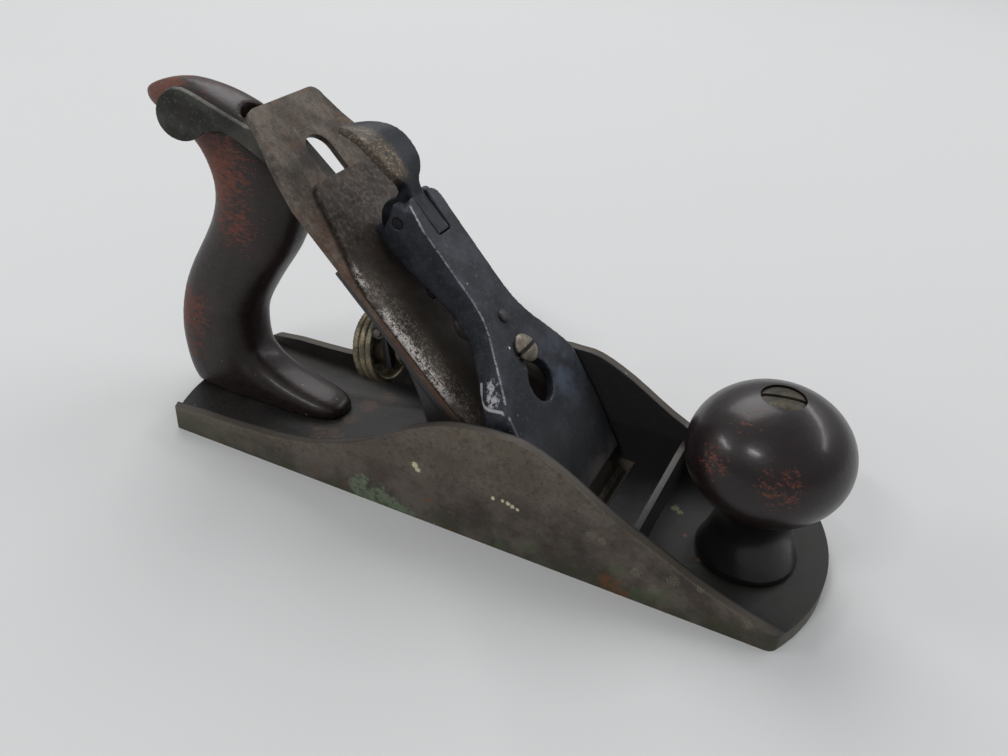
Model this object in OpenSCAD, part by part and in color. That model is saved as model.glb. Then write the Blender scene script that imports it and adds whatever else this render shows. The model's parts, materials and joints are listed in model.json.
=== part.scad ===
/* [Body] */
// Length of the sole
body_length = 228; // [226:1:240]
// Width of the sole
body_width = 61.2; // [59:0.4:66]
// Height of the cheeks at their crest
cheek_height = 42; // [38:1:46]
/* [Cutter] */
// Length of the cutting iron
iron_length = 163.8; // [158:1:170]
/* [Handles] */
// Greatest diameter of the front knob
knob_diameter = 48.2; // [44:1:50]
// Height of the front knob above the floor
knob_height = 57.6; // [52:1:62]
// Height of the tote above the floor
tote_height = 111.4; // [106:1:114]
// Thickness of the tote
tote_thickness = 22; // [20:1:24]
/* [Hidden] */
$fn = 40;
// Clearances between mating pieces
seat_gap = 0.1;
bore_gap = 0.1;

// Casting
wall = 3.4;
floor_z = 5.6;
rim_z = 8;
toe_rise = 8.5;
heel_rise = 7;
toe_corner_r = 3.5;
heel_corner_r = 1.5;
half_length = body_length / 2;
half_width = body_width / 2;
inner_half = half_width - wall;
rib_x = 60;
rib_top = 19;
rib_thick = 2;
seat_top = 8;
seat_back = -15;
mouth_front = 42.3;

// Bed: local x runs up the slope, local z stands off the bed plane
bed_foot = 38.5;
bed_angle = 45;
iron_half = inner_half - 1.8;
iron_thick = 2.05;
edge_s = -1.6;
bevel_angle = 25;
iron_end = edge_s + iron_length;
slot_half = 5.6;
slot_end = 148.2;
keyhole_s = 45;
keyhole_r = 8.3;
iron_top = iron_thick;
cap_iron_thick = 2;
cap_iron_top = iron_top + cap_iron_thick;
cap_iron_end = 134;
cap_screw_s = 73;
cap_screw_r = 3.6;
cap_screw_head = 7.5;

// Frog
frog_half = iron_half - 2.4;
frog_plate = 3.8;
frog_end = 110;
frog_wall = 3.5;
frog_base = 4;
frog_screw_x = 14;
frog_screw_y = 12;
frog_screw_r = 2.6;
frog_head_r = 4.8;
washer_r = 5.6;
washer_thick = 1.2;
well_r = 6.6;

// Depth adjuster: an axis that rises towards the toe
nut_x = -43.7;
nut_z = 38.7;
nut_tilt = 11;
nut_r = 12.7;
nut_rim = 7.2;
hub_r = 6;
groove_r = 4.4;
groove_start = 7.6;
groove_end = 12.6;
groove_mid = (groove_start + groove_end) / 2;
flange_end = 14.2;
stud_r = 3;
stud_start = 3;
stud_end = 31;
yoke_arm = 9.9;
yoke_hub_r = 2.5;
yoke_pin_r = 1.3;
yoke_ear_r = 2.6;
yoke_half = 7.6;
ear_thick = 2.5;
fork_thick = 2.2;
tip_half = 2.6;
pivot_a = groove_mid;
pivot_x = nut_x + pivot_a * cos(nut_tilt) - yoke_arm * sin(nut_tilt);
pivot_z = nut_z + pivot_a * sin(nut_tilt) + yoke_arm * cos(nut_tilt);

// Lateral lever
lateral_s = 105.5;
lateral_swing = 14;
lateral_plate = 1.6;
lateral_low = -0.3 - lateral_plate;
lateral_half = 6.4;
rivet_r = 2.4;
roller_arm = 6;
roller_r = 3.05;
roller_pin_r = 1.5;
disc_a = 71.9;
disc_drop = 18.3;
disc_long = 7.9;
disc_tall = 9.8;
flange_thick = 2;

// Lever cap
cap_end = 114;
cap_low = 8;
cap_plate = 3.6;
cap_wall = 2.7;
cap_neck = 9;
cap_corner = 4.4;
cap_full = iron_half - 0.4;
screw_s = 57.5;
screw_r = 3.2;
screw_head = 4.7;
large_s = 46.4;
large_r = 6.6;
cap_rivet_s = 69.5;
cap_rivet_r = 1.6;
cap_rivet_head = 2.4;
notch_half = 3.6;
cam_s = 110.5;
cam_n = 15.3;
cam_r = 7.5;
cam_drop = 2.3;
cam_half = 3.3;
cam_reach = 11.5;
cam_top = 6;
cam_hub_r = 2.8;
cam_hub_half = 5.8;
cam_pin_r = 1.7;
ear_in = 6.1;
cap_under = 18.6;
spring_thick = 0.6;

// Knob
knob_x = half_length - 24.7;
knob_r = knob_diameter / 2;
knob_base_r = 15.4;
knob_neck_r = 11.9;
knob_scale = knob_height / 57.6;
bolt_r = 2.9;
nut_head_r = 6.25;
nut_depth = 6;

// Tote
tote_half = tote_thickness / 2;
tote_scale = tote_height / 111.4;
tote_bolt_r = 2.7;
tote_shift = 114 - half_length;
tote_bolt_x = tote_shift - 104.5;
tote_bolt_z = 3;
tote_lean = 11.2;

// A smooth curve through a few points, with steps points a span
function blend(a, b, c, d, t) = 0.5 * ((2 * b) + (c - a) * t + (2 * a - 5 * b + 4 * c - d) * t * t
    + (3 * b - a - 3 * c + d) * t * t * t);
function smooth(p, steps) = concat([for (i = [0 : len(p) - 2]) for (k = [0 : steps - 1])
    blend(p[max(i - 1, 0)], p[i], p[i + 1], p[min(i + 2, len(p) - 1)], k / steps)], [p[len(p) - 1]]);
function reversed(p) = [for (i = [len(p) - 1 : -1 : 0]) p[i]];
function flipped(p) = [for (i = [len(p) - 1 : -1 : 0]) [p[i][0], -p[i][1]]];
function arc(c, r, a, b, n) = [for (i = [0 : n]) c + r * [cos(a + (b - a) * i / n), sin(a + (b - a) * i / n)]];
// Radius of the circle with this half chord and rise
function bow(half, rise) = (half * half + rise * rise) / (2 * rise);

// Outline seen from above, inset on its sides by d and cut back at its ends by e
function half_outline(d, e) =
    let (w = half_width - d,
        rt = bow(half_width, toe_rise),
        rh = bow(half_width, heel_rise),
        ct_r = toe_corner_r,
        ch_r = heel_corner_r,
        at = asin((w - ct_r) / (rt - ct_r)),
        ah = asin((w - ch_r) / (rh - ch_r)),
        ct = half_length - e - rt,
        ch = -half_length + e + rh)
    concat(
        arc([ct, 0], rt, 0, at, 8),
        arc([ct + (rt - ct_r) * cos(at), w - ct_r], ct_r, at, 90, 5),
        arc([ch - (rh - ch_r) * cos(ah), w - ch_r], ch_r, 90, 180 - ah, 4),
        arc([ch, 0], rh, 180 - ah, 180, 8));
function outline(d, e) =
    let (h = half_outline(d, e)) concat(h, [for (i = [len(h) - 2 : -1 : 1]) [h[i][0], -h[i][1]]]);

module on_bed() {
    translate([bed_foot, 0, 0]) rotate([0, bed_angle, 0]) rotate([0, 0, 180]) children();
}
// Extrudes a drawing in the slope's s and n across the width
module across(half) {
    rotate([90, 0, 0]) translate([0, 0, -half]) linear_extrude(2 * half) children();
}
module on_nut_axis() {
    translate([nut_x, 0, nut_z]) rotate([0, 90 - nut_tilt, 0]) children();
}
module slot_hole(s1, s2, half, n1, n2) {
    for (s = [s1, s2]) translate([s, 0, n1]) cylinder(r = half, h = n2 - n1);
    translate([s1, -half, n1]) cube([s2 - s1, 2 * half, n2 - n1]);
}

// Body casting
cheek_points = [[-96, 10], [-76, 10.9], [-56, 13.1], [-41, 17.6], [-26, 24.5], [-11, 34.5], [1, 39.8],
    [13, 41.8], [19, 42], [27, 41.5], [39, 36.3], [54, 27.4], [69, 20.5], [84, 13.5], [99, 8.4], [106, 6.3]];
function cheek_z(z) = rim_z + (z - rim_z) * (z > rim_z ? (cheek_height - rim_z) / (42 - rim_z) : 1);
module cheek_profile() {
    top = smooth([for (p = cheek_points) [p[0], cheek_z(p[1])]], 3);
    polygon(concat([[half_length + 1, 0], [half_length + 1, floor_z]], reversed(top),
        [[-108, 8.6], [-half_length - 1, rim_z], [-half_length - 1, 0]]));
}
module cavity() {
    difference() {
        translate([0, 0, floor_z]) linear_extrude(60) polygon(outline(wall, -1));
        translate([rib_x - rib_thick / 2, -half_width, 0]) cube([rib_thick, body_width, rib_top]);
        seat();
    }
}
// Raised seat for the frog, cut to the slope of the bed in front
module seat() {
    difference() {
        translate([seat_back, -frog_half, 0]) cube([bed_foot - seat_back, 2 * frog_half, seat_top]);
        on_bed() translate([-20, -40, -seat_gap]) cube([60, 80, 20]);
    }
}
module mouth() {
    mouth_half = iron_half + 0.8;
    across(mouth_half) polygon([[bed_foot - 1.2, -1], [mouth_front, -1], [mouth_front, 0.8], [mouth_front + 3, floor_z + 1],
        [bed_foot - floor_z - 1.2, floor_z + 1], [bed_foot - 0.8, 0.4]]);
}
module body() {
    color("dimgray") difference() {
        intersection() {
            across(half_width + 1) cheek_profile();
            linear_extrude(60) polygon(outline(0, 0));
        }
        cavity();
        mouth();
        for (y = [-frog_screw_y, frog_screw_y]) translate([frog_screw_x, y, 1.5])
            cylinder(r = frog_screw_r + bore_gap, h = seat_top);
        translate([knob_x, 0, 1.5]) cylinder(r = bolt_r + bore_gap, h = floor_z);
        tote_rod_hole();
    }
}

// Frog
module frog_slab(from, to, side) {
    translate([0, to, 0]) rotate([90, 0, 0]) linear_extrude(to - from) polygon(side);
}
module frog() {
    face_low = seat_top * sqrt(2) - 3;
    back = [[-21.3, 57.5], [-18.6, 51.4], [-15.3, 45], [-13, 40], [-10.4, 32], [-9.4, 22], [-11, 14], [-14.5, 11],
        [-14.5, seat_top - 1], [30, seat_top - 1]];
    wall_out = frog_half - 0.6;
    base_top = seat_top + frog_base + 0.4;
    base = [[-14, seat_top - 1], [29.4, seat_top - 1], [24, base_top], [-14, base_top]];
    color("darkslategray") difference() {
        union() {
            on_bed() translate([face_low, -frog_half, -seat_gap - frog_plate])
                cube([frog_end - face_low, 2 * frog_half, frog_plate]);
            frog_slab(-wall_out, -wall_out + frog_wall, back);
            frog_slab(wall_out - frog_wall, wall_out, back);
            frog_slab(-3.5, 3.5, back);
            frog_slab(-wall_out + 1, wall_out - 1, base);
            on_bed() translate([screw_s, 0, -13]) cylinder(r = 6, h = 12);
            intersection() {
                on_nut_axis() translate([0, 0, 24]) cylinder(r = 6.2, h = 20);
                on_bed() translate([0, -30, -60]) cube([frog_end - 2, 60, 58.8]);
            }
            yoke_ears();
        }
        translate([-60, -40, seat_top - 20]) cube([120, 80, 20]);
        for (y = [-frog_screw_y, frog_screw_y]) {
            translate([frog_screw_x, y, seat_top + frog_base]) cylinder(r = well_r, h = 30);
            translate([frog_screw_x, y, 0]) cylinder(r = frog_screw_r + 0.4, h = 20);
        }
        on_bed() {
            translate([screw_s, 0, -14]) cylinder(r = screw_r + bore_gap, h = 20);
            intersection() {
                translate([cap_screw_s + 0.5, 0, -5.6]) cylinder(r = cap_screw_head + 2, h = 8);
                translate([0, -8.4, -6]) cube([frog_end, 16.8, 10]);
            }
            translate([cap_screw_s, -tip_half - 0.6, -5]) cube([18.8, 2 * tip_half + 1.2, 8]);
            translate([lateral_s - 11, -10.8, lateral_low - 0.3]) cube([20, 21.6, 5]);
            translate([lateral_s, 0, -10]) cylinder(r = rivet_r + bore_gap, h = 12);
        }
        on_nut_axis() translate([0, 0, stud_end - 12]) cylinder(r = stud_r + bore_gap, h = 13);
        translate([pivot_x, -20, pivot_z]) rotate([-90, 0, 0]) cylinder(r = yoke_pin_r + bore_gap, h = 40);
    }
}
// The two lugs that hold the yoke's pin under the bed plate
module yoke_ears() {
    y0 = yoke_half + 0.3;
    for (m = [0, 1]) mirror([0, m, 0]) translate([0, y0 + ear_thick, 0]) rotate([90, 0, 0])
        linear_extrude(ear_thick) union() {
            translate([pivot_x, pivot_z]) circle(r = yoke_ear_r);
            polygon([[pivot_x - 2.3, pivot_z + 1.1], [pivot_x + 1.7, pivot_z - 1.9],
                [-20.2, 54.7], [-24, 58.5], [-33, 67.5]]);
        }
}
module frog_screws() {
    z0 = seat_top + frog_base + washer_thick;
    color("gray") for (y = [-frog_screw_y, frog_screw_y]) translate([frog_screw_x, y, 0]) difference() {
        union() {
            translate([0, 0, 2]) cylinder(r = frog_screw_r, h = z0 - 2 + 1);
            translate([0, 0, z0]) rotate_extrude() polygon([[0, 0], [frog_head_r, 0], [frog_head_r, 1.6],
                [3.6, 2.6], [1.6, 3.1], [0, 3.2]]);
        }
        translate([-6, -0.5, z0 + 1.6]) cube([12, 1, 3]);
    }
}
module frog_washers() {
    color("silver") for (y = [-frog_screw_y, frog_screw_y])
        translate([frog_screw_x, y, seat_top + frog_base]) difference() {
            cylinder(r = washer_r, h = washer_thick);
            translate([0, 0, -1]) cylinder(r = frog_screw_r + bore_gap, h = 4);
        }
}

// Depth adjuster
module adjuster_stud() {
    color("gray") on_nut_axis() translate([0, 0, stud_start]) cylinder(r = stud_r, h = stud_end - stud_start);
}
module depth_nut() {
    rim_in = nut_r - 2.2;
    ridge = 0.55;
    ridge_count = 3;
    pitch = nut_rim / ridge_count;
    ridges = [for (k = [0 : ridge_count - 1]) for (q = [[0, -ridge], [0.2, 0], [0.8, 0], [1, -ridge]])
        [nut_r + q[1], pitch * (k + q[0] * 0.97 + 0.015)]];
    color("gold") on_nut_axis() difference() {
        rotate_extrude($fn = 56) polygon(concat([[0, 0.6], [hub_r, 0]], ridges,
            [[rim_in, nut_rim], [rim_in - 0.6, 2.6], [hub_r + 0.8, 2], [hub_r, 3.2], [hub_r, groove_start],
            [groove_r, groove_start], [groove_r, groove_end], [hub_r, groove_end],
            [hub_r, flange_end - 0.5], [hub_r - 0.5, flange_end], [0, flange_end]]));
        translate([0, 0, stud_start - 1]) cylinder(r = stud_r + bore_gap, h = 20);
    }
}
module yoke() {
    fork_end = yoke_arm + 4;
    tip_n = cap_iron_top + 0.3;
    color("slategray") difference() {
        union() {
            translate([pivot_x, yoke_half, pivot_z]) rotate([90, 0, 0]) cylinder(r = yoke_hub_r, h = 2 * yoke_half);
            translate([pivot_x, 0, pivot_z]) rotate([0, 90 - nut_tilt, 0])
                translate([0, -yoke_half, -fork_thick / 2]) cube([fork_end, 2 * yoke_half, fork_thick]);
            translate([pivot_x, 0, pivot_z]) yoke_tip(tip_n);
        }
        translate([pivot_x, 0, pivot_z]) rotate([0, 90 - nut_tilt, 0]) {
            translate([yoke_arm, 0, -5]) cylinder(r = groove_r + 0.35, h = 10);
            translate([yoke_arm, -groove_r - 0.35, -5]) cube([20, 2 * groove_r + 0.7, 10]);
        }
        translate([pivot_x, -20, pivot_z]) rotate([-90, 0, 0]) cylinder(r = yoke_pin_r + bore_gap, h = 40);
    }
}
pivot_s = (pivot_z - pivot_x + bed_foot) / sqrt(2);
pivot_n = (pivot_z + pivot_x - bed_foot) / sqrt(2);
module yoke_tip(tip_n) {
    rotate([0, bed_angle, 0]) rotate([0, 0, 180])
        translate([-1.2, -tip_half, 0]) cube([2.2, 2 * tip_half, tip_n - pivot_n]);
}
module yoke_pin() {
    y1 = yoke_half + 0.3 + ear_thick;
    color("silver") translate([pivot_x, y1, pivot_z]) rotate([90, 0, 0]) cylinder(r = yoke_pin_r, h = 2 * y1);
}

// Lateral lever, swung to the near side as it lies
module on_lateral() {
    on_bed() translate([lateral_s, 0, 0]) rotate([0, 0, lateral_swing]) children();
}
module lateral_lever() {
    flange_from = 43;
    b0 = lateral_low + lateral_plate;
    edge = concat(
        [[flange_from, b0], [flange_from, b0 - 8]],
        smooth([[46, -9.1], [54.6, -10.2], [60.4, -11.8]], 3),
        [for (a = [172 : 12 : 388]) [disc_a + disc_long * cos(a), disc_tall * sin(a) - disc_drop]],
        smooth([[76.9, -11.5], [72.2, -9.6], [62.5, -6.7], [56, -4.4]], 3),
        [[51, b0]]);
    color("dimgray") on_lateral() difference() {
        union() {
            translate([0, 0, lateral_low]) linear_extrude(lateral_plate) polygon(concat(
                arc([0, 0], lateral_half, 110, 250, 10),
                [[27, -8.6], [42, -10.8], [47, -10], [56, -3]],
                [[58, -1], [58, 1], [56, 2.4], [46, lateral_half], [30, lateral_half]]));
            translate([-roller_arm, 0, lateral_low]) cylinder(r = 4.2, h = lateral_plate);
            rotate([90, 0, 0]) translate([0, 0, -flange_thick / 2]) linear_extrude(flange_thick) polygon(edge);
            translate([-roller_arm, 0, lateral_low]) cylinder(r = roller_pin_r, h = iron_top - lateral_low - 0.2);
        }
        translate([0, 0, -10]) cylinder(r = rivet_r + bore_gap, h = 20);
    }
}
module lateral_pivot() {
    color("silver") on_bed() translate([lateral_s, 0, -seat_gap - frog_plate])
        cylinder(r = rivet_r, h = frog_plate - 0.2);
}
module lateral_roller() {
    color("silver") on_lateral() translate([-roller_arm, 0, lateral_low + lateral_plate + 0.1]) difference() {
        cylinder(r = roller_r, h = 1.7);
        translate([0, 0, -1]) cylinder(r = roller_pin_r + bore_gap, h = 4);
    }
}

// Cutter
module cutting_iron() {
    corner = 4;
    side = [[edge_s, iron_half], [131, iron_half], [140, iron_half - 1.9], [146.5, iron_half - 3.9],
        [151, iron_half - 5.8], [155, iron_half - 7], [158, iron_half - 7.9]];
    shift = iron_end - 162.2;
    half = concat([side[0], side[1]], [for (i = [2 : len(side) - 1]) [side[i][0] + shift, side[i][1]]],
        arc([iron_end - corner, iron_half - 7.9 - corner], corner, 80, 0, 4));
    color("gray") on_bed() difference() {
        linear_extrude(iron_thick) polygon(concat(half, flipped(half)));
        slot_hole(keyhole_s, slot_end - slot_half, slot_half, -1, 5);
        translate([keyhole_s, 0, -1]) cylinder(r = keyhole_r, h = 5);
        translate([edge_s, 0, iron_thick]) rotate([0, bevel_angle, 0]) translate([-10, -40, -20])
            cube([20, 80, 20]);
    }
}
module cap_iron() {
    half = concat([[1.2, iron_half - 0.6], [98, iron_half - 0.6]],
        smooth([[105, iron_half - 1.9], [111.5, iron_half - 3.9], [118, iron_half - 5.9],
        [124, iron_half - 7.6], [131, iron_half - 9.4]], 2),
        [[133, iron_half - 10.4], [cap_iron_end, iron_half - 12]]);
    top = smooth([[cap_iron_end, cap_iron_top], [40, cap_iron_top], [28, cap_iron_top], [20, 5.0], [14, 6.0],
        [10, 6.1], [6, 5.2], [3, 3.6], [1.2, 2.3]], 2);
    bow_low = smooth([[1.2, iron_top], [3.6, iron_top], [6, 3.2], [10, 4.1], [14, 4.0], [20, 3.0],
        [28, iron_top], [40, iron_top], [cap_iron_end, iron_top]], 2);
    low = [for (p = bow_low) [p[0], max(p[1], iron_top)]];
    color("lightgray") on_bed() difference() {
        intersection() {
            across(iron_half) polygon(concat(top, low));
            linear_extrude(20) polygon(concat(half, flipped(half)));
        }
        slot_hole(screw_s - 3, screw_s + 3, screw_r + 0.9, 0, 10);
        translate([cap_screw_s, 0, 0]) cylinder(r = cap_screw_r + bore_gap, h = 10);
        translate([pivot_s - 1.9, -tip_half - 0.4, 0]) cube([3.6, 2 * tip_half + 0.8, 10]);
    }
}
module cap_iron_screw() {
    color("gray") on_bed() translate([cap_screw_s, 0, 0]) difference() {
        union() {
            translate([0, 0, -2]) cylinder(r = cap_screw_r, h = cap_iron_top + 2 - 0.1);
            translate([0, 0, -2.8]) cylinder(r1 = cap_screw_head - 0.7, r2 = cap_screw_head, h = 0.7);
            translate([0, 0, -2.1]) cylinder(r = cap_screw_head, h = 2.1 - 0.02);
        }
        translate([-10, -0.7, -4]) cube([20, 1.4, 2.4]);
    }
}

// Lever cap
cap_top = [[cap_low, 7.6], [14, 9.2], [22, 11.6], [31, 13.8], [40, 15.6], [53, 18.3], [63, 19.1], [68, 19.8],
    [75, 20.5], [83, 20.9], [90, 21.1], [98, 21.4], [103, 21.6], [108, 21.9], [cap_end, 22.2]];
cap_bottom = [[cap_low, 6.3], [15, 6.5], [30, 6.8], [46, 8], [58, 9.6], [68, 11], [79, 11], [88, 9.7],
    [98, 7.8], [106, 6.9], [cap_end, 6.9]];
function cap_half(d) = concat(
    [[cap_low - 1, cap_full - d], [44, cap_full - d]],
    smooth([[47, cap_full - 0.8 - d], [50.5, cap_full - 2.9 - d], [53, 20.4 - d], [58, 17.3 - d], [63, 14.3 - d],
        [68, 11.5 - d], [73, 9.7 - d], [79, cap_neck - d]], 2),
    [[104, cap_neck - d]],
    arc([cap_end - cap_corner, cap_neck - d - cap_corner], cap_corner, 90, 0, 6));
module cap_solid(d, drop) {
    intersection() {
        across(cap_full + 1) polygon(concat([for (p = smooth(cap_top, 2)) p - [0, drop]],
            reversed([for (p = cap_bottom) p - [0, drop * 3]])));
        linear_extrude(40) polygon(concat(cap_half(d), flipped(cap_half(d))));
    }
}
module lever_cap() {
    color("midnightblue") on_bed() difference() {
        union() {
            difference() {
                cap_solid(0, 0);
                intersection() {
                    cap_solid(cap_wall, cap_plate);
                    translate([18, -40, -20]) cube([120, 80, 60]);
                }
                translate([cap_end - 13, -ear_in, -10]) cube([20, 2 * ear_in, cap_under + 10]);
                translate([cap_end - 14, -20, -10]) cube([20, 40, cap_under + 10]);
            }
            cap_ears();
        }
        translate([large_s, 0, 0]) cylinder(r = large_r, h = 40);
        slot_hole(large_s, screw_s, screw_r + 0.4, 0, 40);
        translate([cap_rivet_s, 0, 0]) cylinder(r = cap_rivet_r + bore_gap, h = 40);
        translate([cam_s, notch_half, cam_n]) rotate([90, 0, 0])
            cylinder(r = cam_reach + 0.25, h = 2 * notch_half);
        translate([cam_s, 20, cam_n]) rotate([90, 0, 0]) cylinder(r = cam_pin_r + bore_gap, h = 40);
    }
}
// The two side walls run on beside the cam and carry its pin
module cap_ears() {
    for (m = [0, 1]) mirror([0, m, 0]) translate([0, cap_neck, 0]) rotate([90, 0, 0])
        linear_extrude(cap_neck - ear_in)
            polygon([[98, 7.8], [106, 6.9], [110.4, 7.1], [111.6, 8.9], [113.4, 14.2], [115.6, 18.2], [115, 19.6],
                [112, 20.6], [98, 20.6]]);
}
module lever_cap_screw() {
    color("silver") on_bed() translate([screw_s, 0, 0]) difference() {
        union() {
            translate([0, 0, -12.5]) cylinder(r = screw_r, h = 32);
            translate([0, 0, 19.1]) rotate_extrude() polygon([[0, 0], [screw_head, 0], [screw_head, 0.8],
                [3.9, 1.6], [2.4, 2.2], [0, 2.5]]);
        }
        translate([-0.6, -8, 20.3]) cube([1.2, 16, 4]);
    }
}
module cam_lever() {
    top = smooth([[3.4, 6.2], [5.4, 6.8], [8.6, 8.3], [14, 9.3], [20, 9.1], [25, 7.6], [29, 4.6],
        [32, 0.6], [33.2, -1.8]], 3);
    low = [[31.8, -1.9], [28.6, 1.9], [24.6, 5], [19.8, 6.7], [13, 6.9], [9.6, 5.8], [7.4, 3.4],
        [6, -0.6], [3.4, -3]];
    half = smooth([[2, cam_half], [6.8, cam_half], [8.2, 4.6], [10, 6.6], [13, 8.4], [18.5, 9.2], [23, 8.9],
        [27.4, 7], [30.8, 4.4]], 2);
    // The neck that fills the cap's notch, and swings down inside the cap
    neck = [[3.6, 6.2], [-2, 6.1], [-0.985 * sqrt(cam_reach * cam_reach - cam_top * cam_top), cam_top],
        [-10.5, 4.2], [-6, 1], [3.6, 0]];
    tip = [[33, 2.2], [33.3, 0]];
    plan = concat(half, tip);
    color("darkgoldenrod") on_bed() translate([cam_s, 0, cam_n]) difference() {
        union() {
            translate([0, cam_half, -cam_drop]) rotate([90, 0, 0]) cylinder(r = cam_r, h = 2 * cam_half);
            translate([0, cam_hub_half, 0]) rotate([90, 0, 0]) cylinder(r = cam_hub_r, h = 2 * cam_hub_half);
            across(cam_half) polygon(neck);
            intersection() {
                across(12) polygon(concat(top, low));
                translate([0, 0, -20]) linear_extrude(40) polygon(concat(plan, flipped(plan)));
            }
        }
        translate([0, 20, 0]) rotate([90, 0, 0]) cylinder(r = cam_pin_r + bore_gap, h = 40);
    }
}
module cam_pin() {
    color("silver") on_bed() translate([cam_s, cap_neck, cam_n]) rotate([90, 0, 0])
        cylinder(r = cam_pin_r, h = 2 * cap_neck);
}
module cap_spring() {
    low = smooth([[64, 14.6], [72, 15.3], [80, 14.9], [90, 10.4], [98, 6.6], [104, 4.9],
        [109, 4.35], [114.5, 4.6]], 3);
    top = [for (p = low) p + [0, spring_thick]];
    color("steelblue") on_bed() difference() {
        across(4.5) polygon(concat(top, reversed(low)));
        translate([cap_rivet_s, 0, 0]) cylinder(r = cap_rivet_r + bore_gap, h = 40);
    }
}
module spring_rivet() {
    color("silver") on_bed() translate([cap_rivet_s, 0, 0]) rotate_extrude() polygon([[0, 14.2],
        [cap_rivet_head, 14.2], [cap_rivet_head, 15], [cap_rivet_r, 15], [cap_rivet_r, 20.3],
        [cap_rivet_head, 20.3], [1.7, 20.8], [0, 21]]);
}

// Knob
function ball(a) = [knob_r * cos(a), (38.2 + 19.9 * sin(a)) * knob_scale];
module front_knob() {
    neck = smooth([[knob_base_r, 2.2], [13.6, 6.4], [knob_neck_r, 12], [12, 17], [13.6, 21.6]], 4);
    side = concat([[0, 0], [knob_base_r - 0.6, 0], [knob_base_r, 0.6]],
        [for (p = neck) [p[0], p[1] * knob_scale]], [for (a = [-52 : 8 : 68]) ball(a)], [[0, ball(68)[1]]]);
    color("maroon") translate([knob_x, 0, floor_z]) difference() {
        rotate_extrude($fn = 64) polygon(side);
        translate([0, 0, -1]) cylinder(r = bolt_r + bore_gap, h = 80);
        translate([0, 0, knob_height - nut_depth]) cylinder(r = nut_head_r + 0.15, h = 20);
    }
}
module knob_bolt() {
    color("gray") translate([knob_x, 0, 2]) cylinder(r = bolt_r, h = floor_z + knob_height - 2 - 3);
}
// A domed, slotted nut with a hole from below
module cap_nut(r, h, hole, turn) {
    rotate([0, 0, turn]) difference() {
        rotate_extrude() polygon([[0, 0], [r, 0], [r, h - 0.8], [r * 0.8, h - 0.35], [r * 0.45, h - 0.1], [0, h]]);
        translate([0, 0, -1]) cylinder(r = hole, h = h - 0.9);
        translate([-r - 1, -0.7, h - 1.6]) cube([2 * r + 2, 1.4, 3]);
    }
}
module knob_nut() {
    color("gold") translate([knob_x, 0, floor_z + knob_height - nut_depth])
        cap_nut(nut_head_r, nut_depth - 0.1, bolt_r + bore_gap, 11);
}

// Tote: a loft through stations, each from a back point to a front point,
// with its width, the squareness of its corners and the height of its crown
stations = [
    [[-118.6, 0], [-76, 0], [0.95, 0.6, 0]],
    [[-120, 3], [-83, 5], [0.96, 0.6, 0]],
    [[-121.4, 9], [-88, 11], [0.97, 0.6, 0]],
    [[-122.2, 17], [-90.6, 19], [0.98, 0.62, 0]],
    [[-122, 24], [-91, 26], [1, 0.66, 0]],
    [[-120.8, 31.5], [-89.8, 33], [1, 0.7, 0]],
    [[-118.2, 40], [-85.6, 41], [1, 0.72, 0]],
    [[-113.8, 49], [-79.8, 50], [1, 0.74, 0]],
    [[-107.8, 59], [-73.4, 59.5], [1, 0.76, 0]],
    [[-103.2, 68], [-69.2, 68.5], [1, 0.78, 0]],
    [[-100.7, 76.5], [-66.6, 78], [1, 0.72, 0]],
    [[-101, 84], [-67.4, 86], [0.99, 0.64, 0.1]],
    [[-104.4, 91.5], [-72, 92.8], [0.98, 0.6, 0.5]],
    [[-110.5, 96], [-77, 98.4], [0.95, 0.6, 1.3]],
    [[-118.4, 98.8], [-81.6, 102.6], [0.88, 0.66, 2.2]],
    [[-125.4, 100.8], [-86, 105.2], [0.74, 0.76, 3.2]],
    [[-128.4, 103.2], [-89, 106.6], [0.5, 0.9, 4]],
    [[-128, 105], [-92, 107.4], [0.2, 1, 4.4]]];
function pull(v, p) = (v < 0 ? -1 : 1) * pow(abs(v), p);
tote_ring = 28;
module tote_loft() {
    rings = smooth([for (s = stations) concat(s[0], s[1], s[2])], 2);
    count = len(rings);
    points = [for (r = rings) for (k = [0 : tote_ring - 1])
        let (a = 360 * k / tote_ring,
            u = pull(cos(a), r[5]),
            mid = [r[0] + r[2], r[1] + r[3]] / 2,
            long = [r[2] - r[0], r[3] - r[1]] / 2,
            z = mid[1] + u * long[1] + r[6] * (1 - u * u))
        [mid[0] + u * long[0], tote_half * r[4] * pull(sin(a), r[5]), z * tote_scale]];
    walls = [for (i = [0 : count - 2]) for (k = [0 : tote_ring - 1])
        let (n = (k + 1) % tote_ring, a = i * tote_ring, b = a + tote_ring)
        for (t = [[a + k, b + k, b + n], [a + k, b + n, a + n]]) t];
    low = [[for (k = [0 : tote_ring - 1]) k]];
    half = tote_ring / 2;
    rim = (count - 1) * tote_ring;
    crown = [for (k = [1 : half - 2])
        let (a = rim + k, b = rim + tote_ring - k)
        for (t = [[b, b - 1, a + 1], [b, a + 1, a]]) t];
    ends = [[rim, rim + tote_ring - 1, rim + 1], [rim + half, rim + half - 1, rim + half + 1]];
    polyhedron(points, concat(walls, low, crown, ends), convexity = 6);
}
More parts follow.
